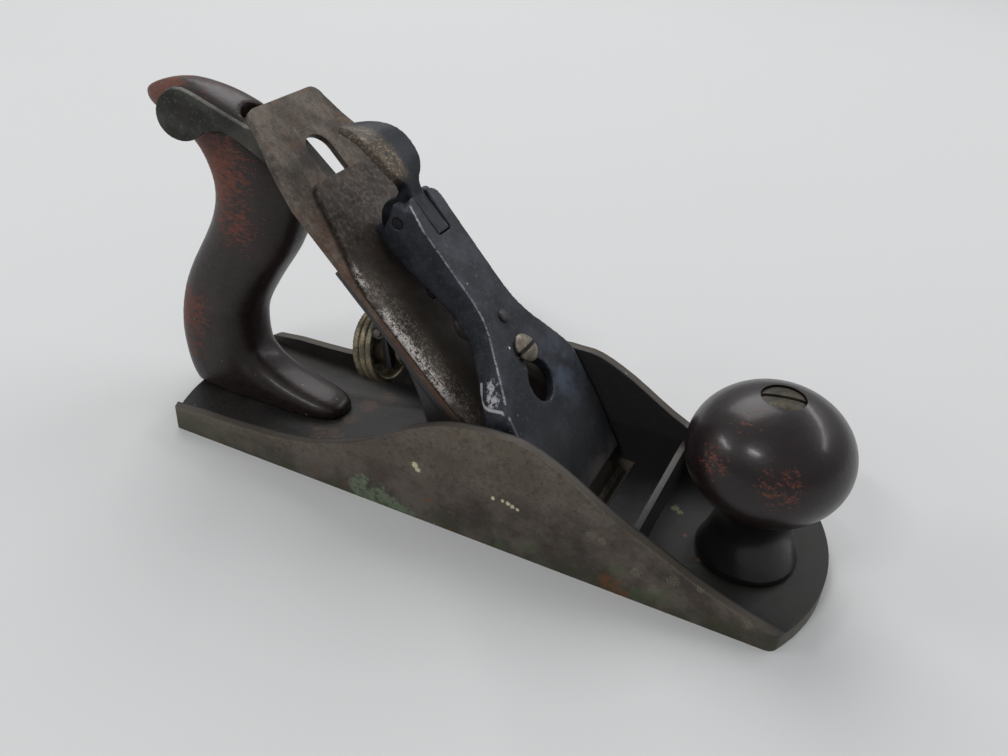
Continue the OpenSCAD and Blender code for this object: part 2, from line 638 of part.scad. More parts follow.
// The foot in front of the grip: rows from back to front, each with its place, height and half width
foot_rows = [[-98, 25, 10.3], [-92, 20.5, 10.3], [-88, 15.6, 10.3], [-83, 12.2, 10.2], [-76, 9.6, 9.9],
    [-69, 7.7, 9.4], [-63, 6.3, 8.5], [-59, 5, 7], [-56.8, 3.6, 4.9], [-55.8, 1.8, 2.4]];
foot_ring = 13;
module tote_foot() {
    rows = smooth(foot_rows, 2);
    count = len(rows);
    points = [for (r = rows) for (k = [0 : foot_ring - 1])
        let (a = 180 * k / (foot_ring - 1))
        [r[0], r[2] * pull(cos(a), 0.72), r[1] * (k == foot_ring - 1 ? 0 : pow(sin(a), 0.72))]];
    walls = [for (i = [0 : count - 2]) for (k = [0 : foot_ring - 1])
        let (n = (k + 1) % foot_ring, a = i * foot_ring, b = a + foot_ring)
        for (t = [[a + k, b + k, b + n], [a + k, b + n, a + n]]) t];
    back = [[for (k = [0 : foot_ring - 1]) k]];
    front = [[for (k = [foot_ring - 1 : -1 : 0]) (count - 1) * foot_ring + k]];
    polyhedron(points, concat(walls, back, front), convexity = 4);
}
module on_tote_rod() {
    translate([tote_bolt_x, 0, tote_bolt_z]) rotate([0, tote_lean, 0]) children();
}
module tote_rod_hole() {
    intersection() {
        on_tote_rod() translate([0, 0, -10]) cylinder(r = tote_bolt_r + bore_gap, h = 30);
        translate([tote_shift - 140, -10, 1.5]) cube([60, 20, 20]);
    }
}
rod_length = (tote_height + floor_z - tote_bolt_z) / cos(tote_lean) - 11.4;
module tote() {
    color("saddlebrown") difference() {
        translate([tote_shift, 0, floor_z]) union() {
            tote_loft();
            tote_foot();
        }
        on_tote_rod() {
            translate([0, 0, -10]) cylinder(r = tote_bolt_r + bore_gap, h = 150);
            translate([0, 0, rod_length - 3]) cylinder(r = 5.4 + 0.3, h = 30);
        }
    }
}
module tote_bolt() {
    color("gray") on_tote_rod() cylinder(r = tote_bolt_r, h = rod_length);
}
module tote_nut() {
    color("gold") on_tote_rod() translate([0, 0, rod_length - 3]) cap_nut(5.4, 5, tote_bolt_r + bore_gap, 20);
}

body();
frog();
frog_screws();
frog_washers();
adjuster_stud();
depth_nut();
yoke();
yoke_pin();
lateral_lever();
lateral_pivot();
lateral_roller();
lever_cap_screw();
cutting_iron();
cap_iron();
cap_iron_screw();
lever_cap();
cam_lever();
cam_pin();
cap_spring();
spring_rivet();
front_knob();
knob_bolt();
knob_nut();
tote();
tote_bolt();
tote_nut();
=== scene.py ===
"""Dresses the smoothing plane: castings, wood, brass and steel with their wear, and the studio."""

import json
import math

import bmesh
import bpy
from bpy.props import FloatProperty, FloatVectorProperty, PointerProperty
from mathutils import Matrix, Vector


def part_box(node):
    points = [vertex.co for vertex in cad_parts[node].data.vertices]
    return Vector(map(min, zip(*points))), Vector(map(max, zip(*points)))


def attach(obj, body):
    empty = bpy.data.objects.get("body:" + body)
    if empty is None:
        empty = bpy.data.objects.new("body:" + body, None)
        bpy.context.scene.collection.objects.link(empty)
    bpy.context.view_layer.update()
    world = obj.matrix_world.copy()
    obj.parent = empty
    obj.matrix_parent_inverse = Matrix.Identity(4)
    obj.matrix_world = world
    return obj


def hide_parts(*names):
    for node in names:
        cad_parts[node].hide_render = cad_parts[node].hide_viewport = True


bl_info = {
    "name": "Smoothing Plane",
    "version": (1, 0, 0),
    "blender": (4, 5, 0),
    "location": "View3D > Sidebar > Plane",
    "description": "Finishes for a metal smoothing plane",
    "category": "Object",
}

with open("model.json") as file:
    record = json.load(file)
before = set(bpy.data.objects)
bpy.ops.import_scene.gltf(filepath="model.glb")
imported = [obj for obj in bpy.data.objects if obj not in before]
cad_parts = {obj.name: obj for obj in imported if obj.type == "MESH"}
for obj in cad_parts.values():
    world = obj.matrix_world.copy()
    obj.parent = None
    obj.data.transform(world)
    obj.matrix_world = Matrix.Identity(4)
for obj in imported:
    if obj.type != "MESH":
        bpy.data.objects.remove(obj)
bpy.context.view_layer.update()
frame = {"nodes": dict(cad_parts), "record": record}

MM = 0.001
BOX = {name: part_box(name) for name in frame["nodes"]}

# The body casting: half its width, its cheeks' thickness, its floor's height and its cross rib's place
HALF_WIDTH = BOX["body"][1].y
WALL = 3.4 * MM
FLOOR = 5.6 * MM
RIB_BACK = 58.8 * MM
RIB_FRONT = 61.2 * MM

# The bed plane rises at this slope from its foot, a place on the sole's level
BED_FOOT = 38.5 * MM
SLOPE = math.radians(45)
# How far up the bed the lever-cap screw stands, and the heights off the bed where painted shade
# fills its slot fully and where the slot has none
CAP_SCREW_UP = 57.5 * MM
CAP_SCREW_FULL_SHADE = 20.9 * MM
CAP_SCREW_NO_SHADE = 21.3 * MM

KNOB_X = (BOX["front_knob"][0].x + BOX["front_knob"][1].x) / 2
# The depth nut's axis: the middle of its rear face, and its tilt above level
NUT_REAR = Vector((-43.7, 0, 38.7)) * MM
NUT_TILT = math.radians(11)

# The camera that took the photograph, found from the casting's outline
CAMERA_AT = Vector((108.52, -232.82, 205.76)) * MM
CAMERA_TURN = tuple(math.radians(a) for a in (57.0772, -3.1374, 26.0192))
CAMERA_LENS = 34.187
CAMERA_SENSOR = 36
# Where the lamps aim: the middle of the plane, half way up
LAMP_AIM = Vector((0, 0, 50)) * MM

# Points closer together than this are one point
TOUCHING = 1e-6
# Degrees by which an edge turns at least to be rounded, and to stay sharp on edged and turned pieces
ROUNDED_ANGLE = 28
SHARP_ANGLE = 32
TURNED_SHARP_ANGLE = 40
# How many faces go once round the turned pieces
NUT_STEPS = 120
KNOB_STEPS = 128


def tone(red, green, blue):
    """A colour given on a 0 to 255 screen scale, as linear light."""
    def linear(level):
        level = level / 255
        return level / 12.92 if level <= 0.04045 else ((level + 0.055) / 1.055) ** 2.4
    return (linear(red), linear(green), linear(blue))


def shade(colour, share):
    """The colour with its light multiplied by share."""
    return tuple(part * share for part in colour)


def colour_property(label, text, value):
    return FloatVectorProperty(name=label, description=text, subtype="COLOR", size=3, min=0, max=1,
                               default=value)


def length_property(label, text, value):
    return FloatProperty(name=label, description=text, unit="LENGTH", min=0, default=value)


class PlaneSizes(bpy.types.PropertyGroup):
    part_voxel: length_property("Part grain", "Mesh size of the small castings", 0.42 * MM)
    wood_voxel: length_property("Wood grain", "Mesh size of the tote", 0.8 * MM)
    casting_round: length_property("Casting round", "Round on the body casting's edges", 0.5 * MM)
    lever_round: length_property("Lever round", "Round on the lateral lever's edges", 0.45 * MM)
    edge_round: length_property("Edge round", "Round on the edges of steel pieces", 0.3 * MM)
    iron_round: length_property("Iron round", "Round on the edges of the two irons", 0.25 * MM)
    pin_round: length_property("Pin round", "Round on the edges of pins and rods", 0.2 * MM)
    thin_round: length_property("Thin round", "Round on the edges of washers and sheet", 0.15 * MM)
    knurl_depth: length_property("Knurl depth", "Depth of the depth nut's fine notches", 0.25 * MM)


class PlaneColours(bpy.types.PropertyGroup):
    iron: colour_property("Iron", "Bare aged iron outside", tone(101, 94, 86))
    iron_dark: colour_property("Iron shade", "Darker patches of the bare iron", tone(59, 52, 49))
    bright: colour_property("Bright metal", "Metal that hands have worn bright", tone(176, 168, 158))
    rust: colour_property("Rust", "Rust on iron and steel", tone(122, 66, 38))
    japan: colour_property("Japanning", "Black lacquer inside the casting", tone(42, 41, 42))
    steel: colour_property("Steel", "Mottled steel of the irons", tone(104, 96, 88))
    cap: colour_property("Lever cap", "Worn blue-black of the lever cap", tone(38, 40, 47))
    brass: colour_property("Brass", "Tarnished brass", tone(124, 114, 92))
    wood: colour_property("Wood", "Red-brown wood under the varnish", tone(122, 66, 48))
    varnish: colour_property("Varnish", "Old dark varnish of the tote", tone(38, 29, 28))
    knob_varnish: colour_property("Knob varnish", "Red-brown varnish of the knob", tone(25, 14, 15))
    ground: colour_property("Ground", "The pale floor", tone(207, 207, 207))


def sizes():
    return bpy.context.scene.plane_sizes


def colours():
    return bpy.context.scene.plane_colours


# Shader maths

class Value:
    """A node's socket that takes part in sums as a number does."""

    def __init__(self, nodes, socket):
        self.nodes = nodes
        self.socket = socket

    def _maths(self, operation, first, second):
        return self.nodes.node("ShaderNodeMath", {"operation": operation}, {0: first, 1: second})

    def __add__(self, other):
        return self._maths("ADD", self, other)

    def __sub__(self, other):
        return self._maths("SUBTRACT", self, other)

    def __rsub__(self, other):
        return self._maths("SUBTRACT", other, self)

    def __mul__(self, other):
        return self._maths("MULTIPLY", self, other)

    def __abs__(self):
        return self._maths("ABSOLUTE", self, 0)

    def most(self, other):
        return self._maths("MAXIMUM", self, other)

    def least(self, other):
        return self._maths("MINIMUM", self, other)

    __radd__ = __add__
    __rmul__ = __mul__


def strongest(masks):
    """The strongest of several masks at each place."""
    field = masks[0]
    for mask in masks[1:]:
        field = field.most(mask)
    return field


class Nodes:
    """A node tree, emptied first, whose nodes all come from one method."""

    def __init__(self, tree):
        self.tree = tree
        self.tree.nodes.clear()

    def node(self, kind, settings=None, inputs=None, output=0):
        """Adds a node with its settings and its sockets' values or links, and gives one output."""
        made = self.tree.nodes.new(kind)
        for key, value in (settings or {}).items():
            setattr(made, key, value)
        for key, value in (inputs or {}).items():
            if isinstance(value, Value):
                self.tree.links.new(value.socket, made.inputs[key])
            else:
                made.inputs[key].default_value = value
        if len(made.outputs) == 0:
            return None
        return Value(self, made.outputs[output])


class Paint(Nodes):
    """One material, drawn with nodes in the object's own metres."""

    def __init__(self, name):
        self.material = bpy.data.materials.new(name)
        self.material.use_nodes = True
        super().__init__(self.material.node_tree)
        self.place = self.node("ShaderNodeTexCoord", output="Object")
        parts = [self.node("ShaderNodeSeparateXYZ", inputs={0: self.place}, output=k) for k in range(3)]
        self.x, self.y, self.z = parts

    def noise(self, size, detail=4, rough=0.6, warp=0, stretch=(1, 1, 1), shift=0):
        """Cloudy noise from 0 to 1 whose lumps are about size metres wide."""
        spot = self.node("ShaderNodeMapping", inputs={
            "Vector": self.place, "Scale": stretch, "Location": (shift, shift * 0.7, shift * 0.3)})
        return self.node("ShaderNodeTexNoise", inputs={
            "Vector": spot, "Scale": 1 / size, "Detail": detail, "Roughness": rough, "Distortion": warp})

    def cells(self, size, shift):
        """Distance to scattered points about size metres apart, from 0 at a point."""
        spot = self.node("ShaderNodeMapping", inputs={"Vector": self.place, "Location": (shift, 0, shift)})
        return self.node("ShaderNodeTexVoronoi", inputs={"Vector": spot, "Scale": 1 / size},
                         output="Distance")

    def ramp(self, value, low, high):
        """Goes smoothly from 0 at low to 1 at high, where low may be the larger."""
        if low > high:
            return 1 - self.ramp(value, high, low)
        return self.node("ShaderNodeMapRange", {"interpolation_type": "SMOOTHSTEP"},
                         {"Value": value, "From Min": low, "From Max": high, "To Min": 0, "To Max": 1})

    def between(self, value, low, high, soft):
        """1 from low to high, fading over soft to each side of both."""
        return self.ramp(value, low - soft, low + soft) * self.ramp(value, high + soft, high - soft)

    def vector(self, operation, inputs, output=0):
        return self.node("ShaderNodeVectorMath", {"operation": operation}, inputs, output)

    def near(self, spot, radius, soft):
        """1 within a ball round a place in metres, fading by soft of its radius."""
        apart = self.vector("DISTANCE", {0: self.place, 1: tuple(spot)}, "Value")
        return self.ramp(apart, radius * (1 + soft), radius * (1 - soft))

    def mix(self, first, second, factor):
        """The first colour where factor is 0 and the second where it is 1."""
        def rgba(colour):
            return colour if isinstance(colour, Value) else (*tuple(colour)[:3], 1)
        return self.node("ShaderNodeMix", {"data_type": "RGBA"},
                         {0: factor, 6: rgba(first), 7: rgba(second)}, output=2)

    def layered(self, base, *layers):
        """Lays colours over a base in turn, each with the mask of where it shows."""
        for colour, mask in layers:
            base = self.mix(base, colour, mask)
        return base

    def patch(self, spots, size):
        """Ragged patches at places with radii in metres; size is that of the ragged edge."""
        field = strongest([self.near(place, radius, 0.9) for place, radius in spots])
        return self.ramp(field * 0.8 + self.noise(size, 6, 0.7, shift=0.9) * 1.6, 1.24, 1.44)

    def stroke(self, places, radius):
        """1 along a chain of places in metres, fading at its radius."""
        lines = []
        for first, second in zip(places, places[1:]):
            along = second - first
            offset = self.vector("SUBTRACT", {0: self.place, 1: tuple(first)})
            share = self.vector("DOT_PRODUCT", {0: offset, 1: tuple(along / along.length_squared)}, "Value")
            foot = self.vector("SCALE", {0: tuple(along), "Scale": share.most(0).least(1)})
            apart = self.vector("DISTANCE", {0: offset, 1: foot}, "Value")
            lines.append(self.ramp(apart, radius * 1.5, radius * 0.5))
        return strongest(lines)

    def edge(self):
        """About 0.5 on flat ground, more along worn outer edges."""
        return self.node("ShaderNodeNewGeometry", output="Pointiness")

    def upward(self):
        """How far the surface faces up, from -1 to 1."""
        normal = self.node("ShaderNodeNewGeometry", output="Normal")
        return self.node("ShaderNodeSeparateXYZ", inputs={0: normal}, output="Z")

    def up_slope(self):
        """Distance up the bed from its foot, in metres."""
        return (self.z - self.x + BED_FOOT) * math.cos(SLOPE)

    def off_bed(self):
        """Distance from the bed plane, in metres."""
        return (self.z + self.x - BED_FOOT) * math.cos(SLOPE)

    def finish(self, colour, rough, metal=0.0, bumps=(), coat=0.0, coat_rough=0.1, specular=0.5, glow=None):
        """Joins the surface up. bumps are pairs of a height from 0 to 1 and its depth in metres."""
        surface = {"Base Color": colour, "Roughness": rough, "Metallic": metal, "Coat Weight": coat,
                   "Coat Roughness": coat_rough, "Specular IOR Level": specular}
        if glow is not None:
            surface["Emission Color"] = glow
            surface["Emission Strength"] = 1
        for height, depth in bumps:
            links = {"Height": height, "Distance": depth}
            if "Normal" in surface:
                links["Normal"] = surface["Normal"]
            surface["Normal"] = self.node("ShaderNodeBump", inputs=links)
        shader = self.node("ShaderNodeBsdfPrincipled", inputs=surface)
        self.node("ShaderNodeOutputMaterial", inputs={"Surface": shader})
        return self.material


# Mesh tools

def new_object(name, mesh, body):
    made = bpy.data.objects.new(name, mesh)
    bpy.context.scene.collection.objects.link(made)
    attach(made, body)
    return made


def body_of_node(node):
    for body, nodes in frame["record"]["behaviour"]["bodies"].items():
        if node in nodes:
            return body
    raise ValueError(f"no body holds {node}")


def clean_copy(node):
    """The node's mesh with its seams joined and its flat faces made whole."""
    mesh = bmesh.new()
    mesh.from_mesh(frame["nodes"][node].data)
    bmesh.ops.remove_doubles(mesh, verts=mesh.verts, dist=TOUCHING)
    bmesh.ops.dissolve_limit(mesh, angle_limit=math.radians(1), verts=mesh.verts, edges=mesh.edges)
    made = bpy.data.meshes.new(node + "_dressed")
    mesh.to_mesh(made)
    mesh.free()
    return made


def settle(piece):
    """Makes the piece's modifiers part of its mesh."""
    graph = bpy.context.evaluated_depsgraph_get()
    mesh = bpy.data.meshes.new_from_object(piece.evaluated_get(graph))
    piece.modifiers.clear()
    piece.data = mesh


def smooth_faces(piece, sharp_angle=None):
    for face in piece.data.polygons:
        face.use_smooth = True
    if sharp_angle is not None:
        piece.data.set_sharp_from_angle(angle=math.radians(sharp_angle))


def cast_piece(node, voxel, rounds=4):
    """Stands for a node with the same form as a casting has it: edges rounded, curves smooth."""
    piece = new_object(node + "_cast", clean_copy(node), body_of_node(node))
    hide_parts(node)
    remesh = piece.modifiers.new("Voxels", "REMESH")
    remesh.mode = "VOXEL"
    remesh.voxel_size = voxel
    remesh.adaptivity = 0
    relax = piece.modifiers.new("Relax", "SMOOTH")
    relax.factor = 0.5
    relax.iterations = rounds
    settle(piece)
    smooth_faces(piece)
    return piece


def edged_piece(node, width=None, segments=2):
    """Stands for a node of sheet or turned metal with its edges broken by a small round."""
    piece = new_object(node + "_edged", clean_copy(node), body_of_node(node))
    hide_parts(node)
    bevel = piece.modifiers.new("Edges", "BEVEL")
    bevel.width = sizes().edge_round if width is None else width
    bevel.segments = segments
    bevel.limit_method = "ANGLE"
    bevel.angle_limit = math.radians(ROUNDED_ANGLE)
    bevel.use_clamp_overlap = True
    bevel.miter_outer = "MITER_ARC"
    settle(piece)
    smooth_faces(piece, SHARP_ANGLE)
    return piece


def spun_piece(name, outline, steps, body, matrix):
    """Turns an outline of radius and height pairs about the z axis, then places it."""
    mesh = bmesh.new()
    rows = []
    for radius, height in outline:
        if radius < TOUCHING:
            rows.append([mesh.verts.new((0, 0, height))])
        else:
            rows.append([mesh.verts.new((radius * math.cos(math.tau * k / steps),
                                         radius * math.sin(math.tau * k / steps), height))
                         for k in range(steps)])
    for low, high in zip(rows, rows[1:]):
        for k in range(steps):
            after = k + 1
            ring = [low[k % len(low)], low[after % len(low)], high[after % len(high)], high[k % len(high)]]
            corners = list(dict.fromkeys(ring))
            if len(corners) > 2:
                mesh.faces.new(corners)
    mesh.transform(matrix)
    bmesh.ops.recalc_face_normals(mesh, faces=mesh.faces)
    made = bpy.data.meshes.new(name)
    mesh.to_mesh(made)
    mesh.free()
    return new_object(name, made, body)


def curve_through(points, steps):
    """A smooth curve through a few points, with steps points a span."""
    last = len(points) - 1
    made = []
    for i in range(last):
        a, b, c, d = (Vector(points[min(max(k, 0), last)]) for k in (i - 1, i, i + 1, i + 2))
        for k in range(steps):
            t = k / steps
            made.append(0.5 * (2 * b + (c - a) * t + (2 * a - 5 * b + 4 * c - d) * t ** 2
                               + (3 * b - a - 3 * c + d) * t ** 3))
    made.append(Vector(points[-1]))
    return made


def coat(piece, material):
    piece.data.materials.clear()
    piece.data.materials.append(material)


# Places of marks

def on_side(*marks):
    """Places on the casting's near side, from rows of x, z and radius in mm."""
    return [(Vector((x * MM, -HALF_WIDTH, z * MM)), radius * MM) for x, z, radius in marks]


def on_floor(*marks):
    """Places on the casting's floor, from rows of x, y and radius in mm."""
    return [(Vector((x * MM, y * MM, FLOOR)), radius * MM) for x, y, radius in marks]


def slope_place(up, aside, off):
    """A place up the bed, aside towards the near side and off the bed plane, in mm, as metres."""
    return Vector((BED_FOOT + (off - up) * MM * math.cos(SLOPE), -aside * MM,
                   (up + off) * MM * math.cos(SLOPE)))


def slope_line(*places):
    """Places along a line over the bed, from rows as slope_place takes them."""
    return [slope_place(*place) for place in places]


def rubbed_places(middle, *marks):
    """Places rubbed by hands, from rows of x, y, z from middle, radius and strength, in mm."""
    return [(middle + Vector((x, y, z)) * MM, radius * MM, strength) for x, y, z, radius, strength in marks]


# Finishes

def speckle(paint, shift=0.0, size=6 * MM):
    """Small pale flecks of dust and paint, as on an old tool."""
    specks = paint.ramp(paint.cells(size, shift), 0.085, 0.05)
    return specks * paint.ramp(paint.noise(9 * MM, shift=shift), 0.52, 0.62)


def aged_iron():
    """Bare iron outside, worn black lacquer inside, a fine bright line along the cheeks' tops and a painted
    highlight on the cross rib's top.
    """
    paint = Paint("aged_iron")
    across = abs(paint.y)
    up = paint.upward()
    cloud = paint.noise(16 * MM, 7, 0.62)
    grain = paint.noise(1.5 * MM, 6, 0.72)
    fine = paint.noise(0.45 * MM, 4, 0.7)
    outer = HALF_WIDTH - 0.7 * MM
    inner = HALF_WIDTH - WALL
    inside = paint.ramp(across, outer, inner + 0.2 * MM)
    lined = inside * paint.ramp(paint.z, FLOOR - 0.9 * MM, FLOOR - 0.3 * MM)
    top = paint.between(across, inner + 0.6 * MM, HALF_WIDTH - 0.2 * MM, 0.5 * MM) \
        * paint.ramp(up, 0.3, 0.75) * paint.ramp(paint.z, FLOOR + 1 * MM, FLOOR + 3 * MM)
    corner = paint.between(across, outer, HALF_WIDTH + 1 * MM, 0.2 * MM) \
        * paint.between(up, 0.15, 0.8, 0.1) * paint.ramp(paint.z, FLOOR, FLOOR + 2 * MM)
    # Painted highlight: a paler grey on the cross rib's upward face, stronger towards the far side
    rib = paint.between(paint.x, RIB_BACK, RIB_FRONT, 0.3 * MM) * paint.ramp(up, 0.5, 0.9) \
        * paint.ramp(paint.z, 14 * MM, 17 * MM) * paint.ramp(paint.y, -30 * MM, 10 * MM)
    colour = paint.layered(
        iron_outside(paint, cloud, grain, fine),
        (iron_inside(paint, cloud, grain, up), lined),
        (tone(78, 72, 66), top * 0.8),
        (tone(132, 124, 106), corner * paint.ramp(cloud * 0.5 + grain * 0.5, 0.4, 0.56)),
        (tone(92, 90, 86), rib * 0.6),
        (tone(150, 144, 128), speckle(paint) * 0.6))
    return paint.finish(colour, 0.5 + grain * 0.2 - inside * 0.16, 0.5 - inside * 0.4,
                        [(cloud, 0.3 * MM), (grain, 0.12 * MM), (fine, 0.04 * MM)], specular=0.28)


def iron_outside(paint, cloud, grain, fine):
    """Brown-grey bare iron with its blotches of rust, green paint and pale flecks."""
    mottle = grain * 0.6 + fine * 0.4
    rust = paint.ramp(paint.noise(10 * MM, 6, 0.72, shift=0.3), 0.52, 0.68)
    scratch = paint.noise(1.1 * MM, 5, 0.7, stretch=(0.1, 1, 1), shift=0.6)
    green = paint.patch(
        on_side((-24, 2.4, 7), (-17, 0.6, 5), (-31, 4, 4.4), (-29, 6.4, 4), (-12, -1, 4)), 5 * MM)
    lower = paint.patch(
        on_side((30, 5, 3), (21, 1.5, 2), (66, 2.5, 4), (72, 5, 4), (58, 9, 3)), 2.4 * MM)
    orange = paint.patch(on_side((57, 3, 4.4), (61, 1, 3), (-4, 9.6, 1), (3.3, 0.3, 1.4)), 1.8 * MM)
    pale = paint.patch(
        on_side((49.5, 19, 2), (53, 18.2, 1.4), (64, 11, 2), (75, 13, 2.4), (83, 13.4, 1.6), (70, 7, 2),
                (97.7, 7, 2)), 1.2 * MM)
    fleck = paint.patch(
        on_side((-9.6, 21.3, 1.4), (-8.6, 19.8, 1.2), (17.4, 19.3, 0.8), (20.6, 19.6, 0.7),
                (22.4, 19.3, 0.9), (24, 18.8, 0.9), (25.6, 18.4, 0.7)), 0.6 * MM)
    return paint.layered(
        colours().iron,
        (colours().iron_dark, paint.ramp(cloud, 0.36, 0.62) * 0.75),
        (tone(120, 108, 94), paint.ramp(mottle, 0.52, 0.66) * 0.45),
        (tone(40, 36, 33), paint.ramp(mottle, 0.48, 0.38) * 0.45),
        (tone(90, 90, 76), paint.ramp(paint.x, -60 * MM, -105 * MM) * 0.45),
        (tone(72, 80, 60), paint.ramp(paint.z, 9 * MM, 1 * MM) * paint.ramp(cloud, 0.34, 0.6) * 0.5),
        (tone(100, 64, 52), rust * paint.ramp(grain, 0.35, 0.6) * 0.35),
        (tone(34, 31, 29), paint.ramp(scratch, 0.58, 0.7) * 0.4),
        (tone(118, 136, 112), green * paint.ramp(grain, 0.34, 0.62) * 0.8),
        (tone(88, 100, 76), lower * 0.45),
        (tone(122, 78, 44), orange * paint.ramp(grain, 0.36, 0.56) * 0.65),
        (tone(140, 138, 116), pale * paint.ramp(fine, 0.42, 0.58) * 0.45),
        (tone(206, 200, 168), fleck))


def iron_inside(paint, cloud, grain, up):
    """Black lacquer in front, worn brown-grey round the tote and greenish on the toe, with painted shade on
    the floors that face up.
    """
    heel_end = paint.ramp(paint.x, -10 * MM, -60 * MM)
    level = paint.ramp(up, 0.6, 0.9)
    toe = paint.ramp(paint.x, 61 * MM, 64 * MM) * level
    worn = paint.layered(
        tone(56, 52, 49),
        (tone(36, 34, 33), paint.ramp(cloud, 0.38, 0.6)),
        (tone(86, 78, 68), paint.ramp(grain, 0.52, 0.68) * 0.5))
    brown = paint.patch(
        on_floor((-53, -2, 3), (-52, 8, 4), (-53, -12, 4), (-48, 16, 4), (-58, -14, 4)), 5 * MM)
    spot = paint.patch(on_floor((64.2, 9.2, 1.6), (66.4, 8, 1.2)), 1.2 * MM)
    rust = paint.patch(on_floor((78, -10.3, 1.2), (71, -2, 1)), 1.2 * MM)
    return paint.layered(
        colours().japan,
        (tone(58, 54, 48), paint.ramp(grain, 0.54, 0.72) * 0.6),
        (worn, heel_end * 0.9),
        # Painted shade: upward-facing floors are darkened towards near-black
        (tone(20, 19, 18), level * 0.5),
        (tone(38, 38, 33), toe * paint.ramp(cloud, 0.3, 0.6) * 0.6),
        (tone(86, 60, 48), brown * paint.ramp(grain, 0.35, 0.6) * 0.5),
        (tone(112, 112, 84), spot * 0.8),
        (tone(104, 70, 44), rust * 0.6))


def lacquered_iron(name):
    """Black lacquer worn through here and there."""
    paint = Paint(name)
    grain = paint.noise(1.4 * MM, 5, 0.7)
    cloud = paint.noise(9 * MM, 5, 0.6)
    colour = paint.layered(
        colours().japan,
        (tone(60, 50, 44), paint.ramp(cloud, 0.56, 0.7) * 0.6),
        (tone(92, 82, 72), paint.ramp(grain, 0.66, 0.78) * 0.5))
    return paint.finish(colour, 0.32 + grain * 0.2, 0.15, [(grain, 0.1 * MM)])


def mottled_steel(name, base, wear=0.5, rust=0.5, rough=0.42, marks=None):
    """Steel with a brown and grey patina, light rust and worn bright places."""
    paint = Paint(name)
    cloud = paint.noise(11 * MM, 7, 0.65)
    grain = paint.noise(1.7 * MM, 7, 0.74)
    fine = paint.noise(0.55 * MM, 4, 0.65, shift=0.2)
    rusty = paint.ramp(paint.noise(7 * MM, 6, 0.74, shift=0.5), 0.5, 0.7)
    colour = paint.layered(
        base,
        (shade(base, 0.4), paint.ramp(cloud, 0.38, 0.66)),
        (colours().rust, rusty * rust * 0.5),
        (colours().bright, paint.ramp(grain * 0.6 + fine * 0.4, 0.54, 0.66) * wear))
    if marks is not None:
        colour = marks(paint, colour, grain, cloud, fine)
    rubbed = paint.ramp(cloud, 0.5, 0.35)
    return paint.finish(colour, rough + grain * 0.22 - rubbed * 0.08, 0.72,
                        [(grain, 0.06 * MM), (fine, 0.03 * MM)])


def blade_marks(paint, colour, grain, cloud, fine):
    """A rust-brown strip along the blade's near edge, dark mottle all over and a paler top."""
    climb = paint.up_slope()
    near = paint.ramp(paint.y, -17 * MM, -21 * MM) * paint.ramp(climb, 135 * MM, 120 * MM)
    top = paint.ramp(climb, 150 * MM, 160 * MM)
    return paint.layered(
        colour,
        (tone(92, 66, 52), near * paint.ramp(cloud, 0.3, 0.55) * 0.7),
        (tone(58, 51, 49), paint.ramp(grain * 0.6 + fine * 0.4, 0.5, 0.42) * 0.6),
        (tone(96, 90, 78), top * paint.ramp(fine, 0.4, 0.6) * 0.4))


def cap_iron_marks(paint, colour, grain, cloud, fine):
    """The bright rubbed band along the near edge, with speckle beside it and near the top, and a plainer
    middle that is partly painted shade.
    """
    climb = paint.up_slope()
    band = paint.between(paint.y, -26.5 * MM, -22.6 * MM, 1.6 * MM) \
        * paint.between(climb, 62 * MM, 116 * MM, 6 * MM)
    shine = paint.ramp(grain * 0.6 + fine * 0.4, 0.45, 0.57) * paint.ramp(cloud, 0.36, 0.52)
    wide = paint.between(paint.y, -25 * MM, -15 * MM, 3 * MM) \
        * paint.between(climb, 40 * MM, 100 * MM, 12 * MM)
    top = paint.ramp(climb, 108 * MM, 118 * MM)
    # A plainer dark brown in the middle under the lever cap: partly the steel's own tone, partly painted
    # shade of the lever cap
    middle = paint.between(paint.y, -17 * MM, 14 * MM, 3 * MM) * paint.ramp(climb, 112 * MM, 98 * MM)
    return paint.layered(
        colour,
        (tone(224, 218, 214), band * shine),
        (tone(150, 142, 132), wide * paint.ramp(fine * 0.5 + grain * 0.5, 0.48, 0.6) * 0.7),
        (tone(50, 46, 43), top * 0.4),
        (tone(112, 104, 97), top * paint.ramp(grain, 0.46, 0.62) * 0.55),
        (tone(78, 71, 65), middle * 0.6))


def screw_marks(paint, colour, grain, cloud, fine):
    """Brown stains, and painted shade deep in the slot of the lever-cap screw."""
    half_slot = 0.6 * MM
    # Painted shade: the slot goes near-black below the face of the screw head
    slot = paint.between(paint.up_slope(), CAP_SCREW_UP - half_slot, CAP_SCREW_UP + half_slot, 0.15 * MM) \
        * paint.ramp(paint.off_bed(), CAP_SCREW_NO_SHADE, CAP_SCREW_FULL_SHADE)
    return paint.layered(
        colour,
        (tone(96, 82, 68), paint.ramp(grain, 0.46, 0.6) * 0.6),
        (tone(26, 24, 22), slot))


def old_brass(name, light=1.0):
    """Tarnished brass, paler where it is rubbed; light below 1 darkens it all, as painted shade."""
    paint = Paint(name)
    cloud = paint.noise(5 * MM, 5, 0.65)
    grain = paint.noise(0.9 * MM, 4, 0.7)
    stain = paint.ramp(paint.noise(3 * MM, shift=0.4), 0.58, 0.7)
    colour = paint.layered(
        colours().brass,
        (tone(84, 79, 64), paint.ramp(cloud, 0.42, 0.6)),
        (tone(186, 176, 150), paint.ramp(grain, 0.54, 0.7) * 0.65),
        (tone(96, 76, 58), stain * 0.6))
    return paint.finish(paint.mix((0, 0, 0), colour, light), 0.36 + grain * 0.2, 0.6, [(grain, 0.05 * MM)])


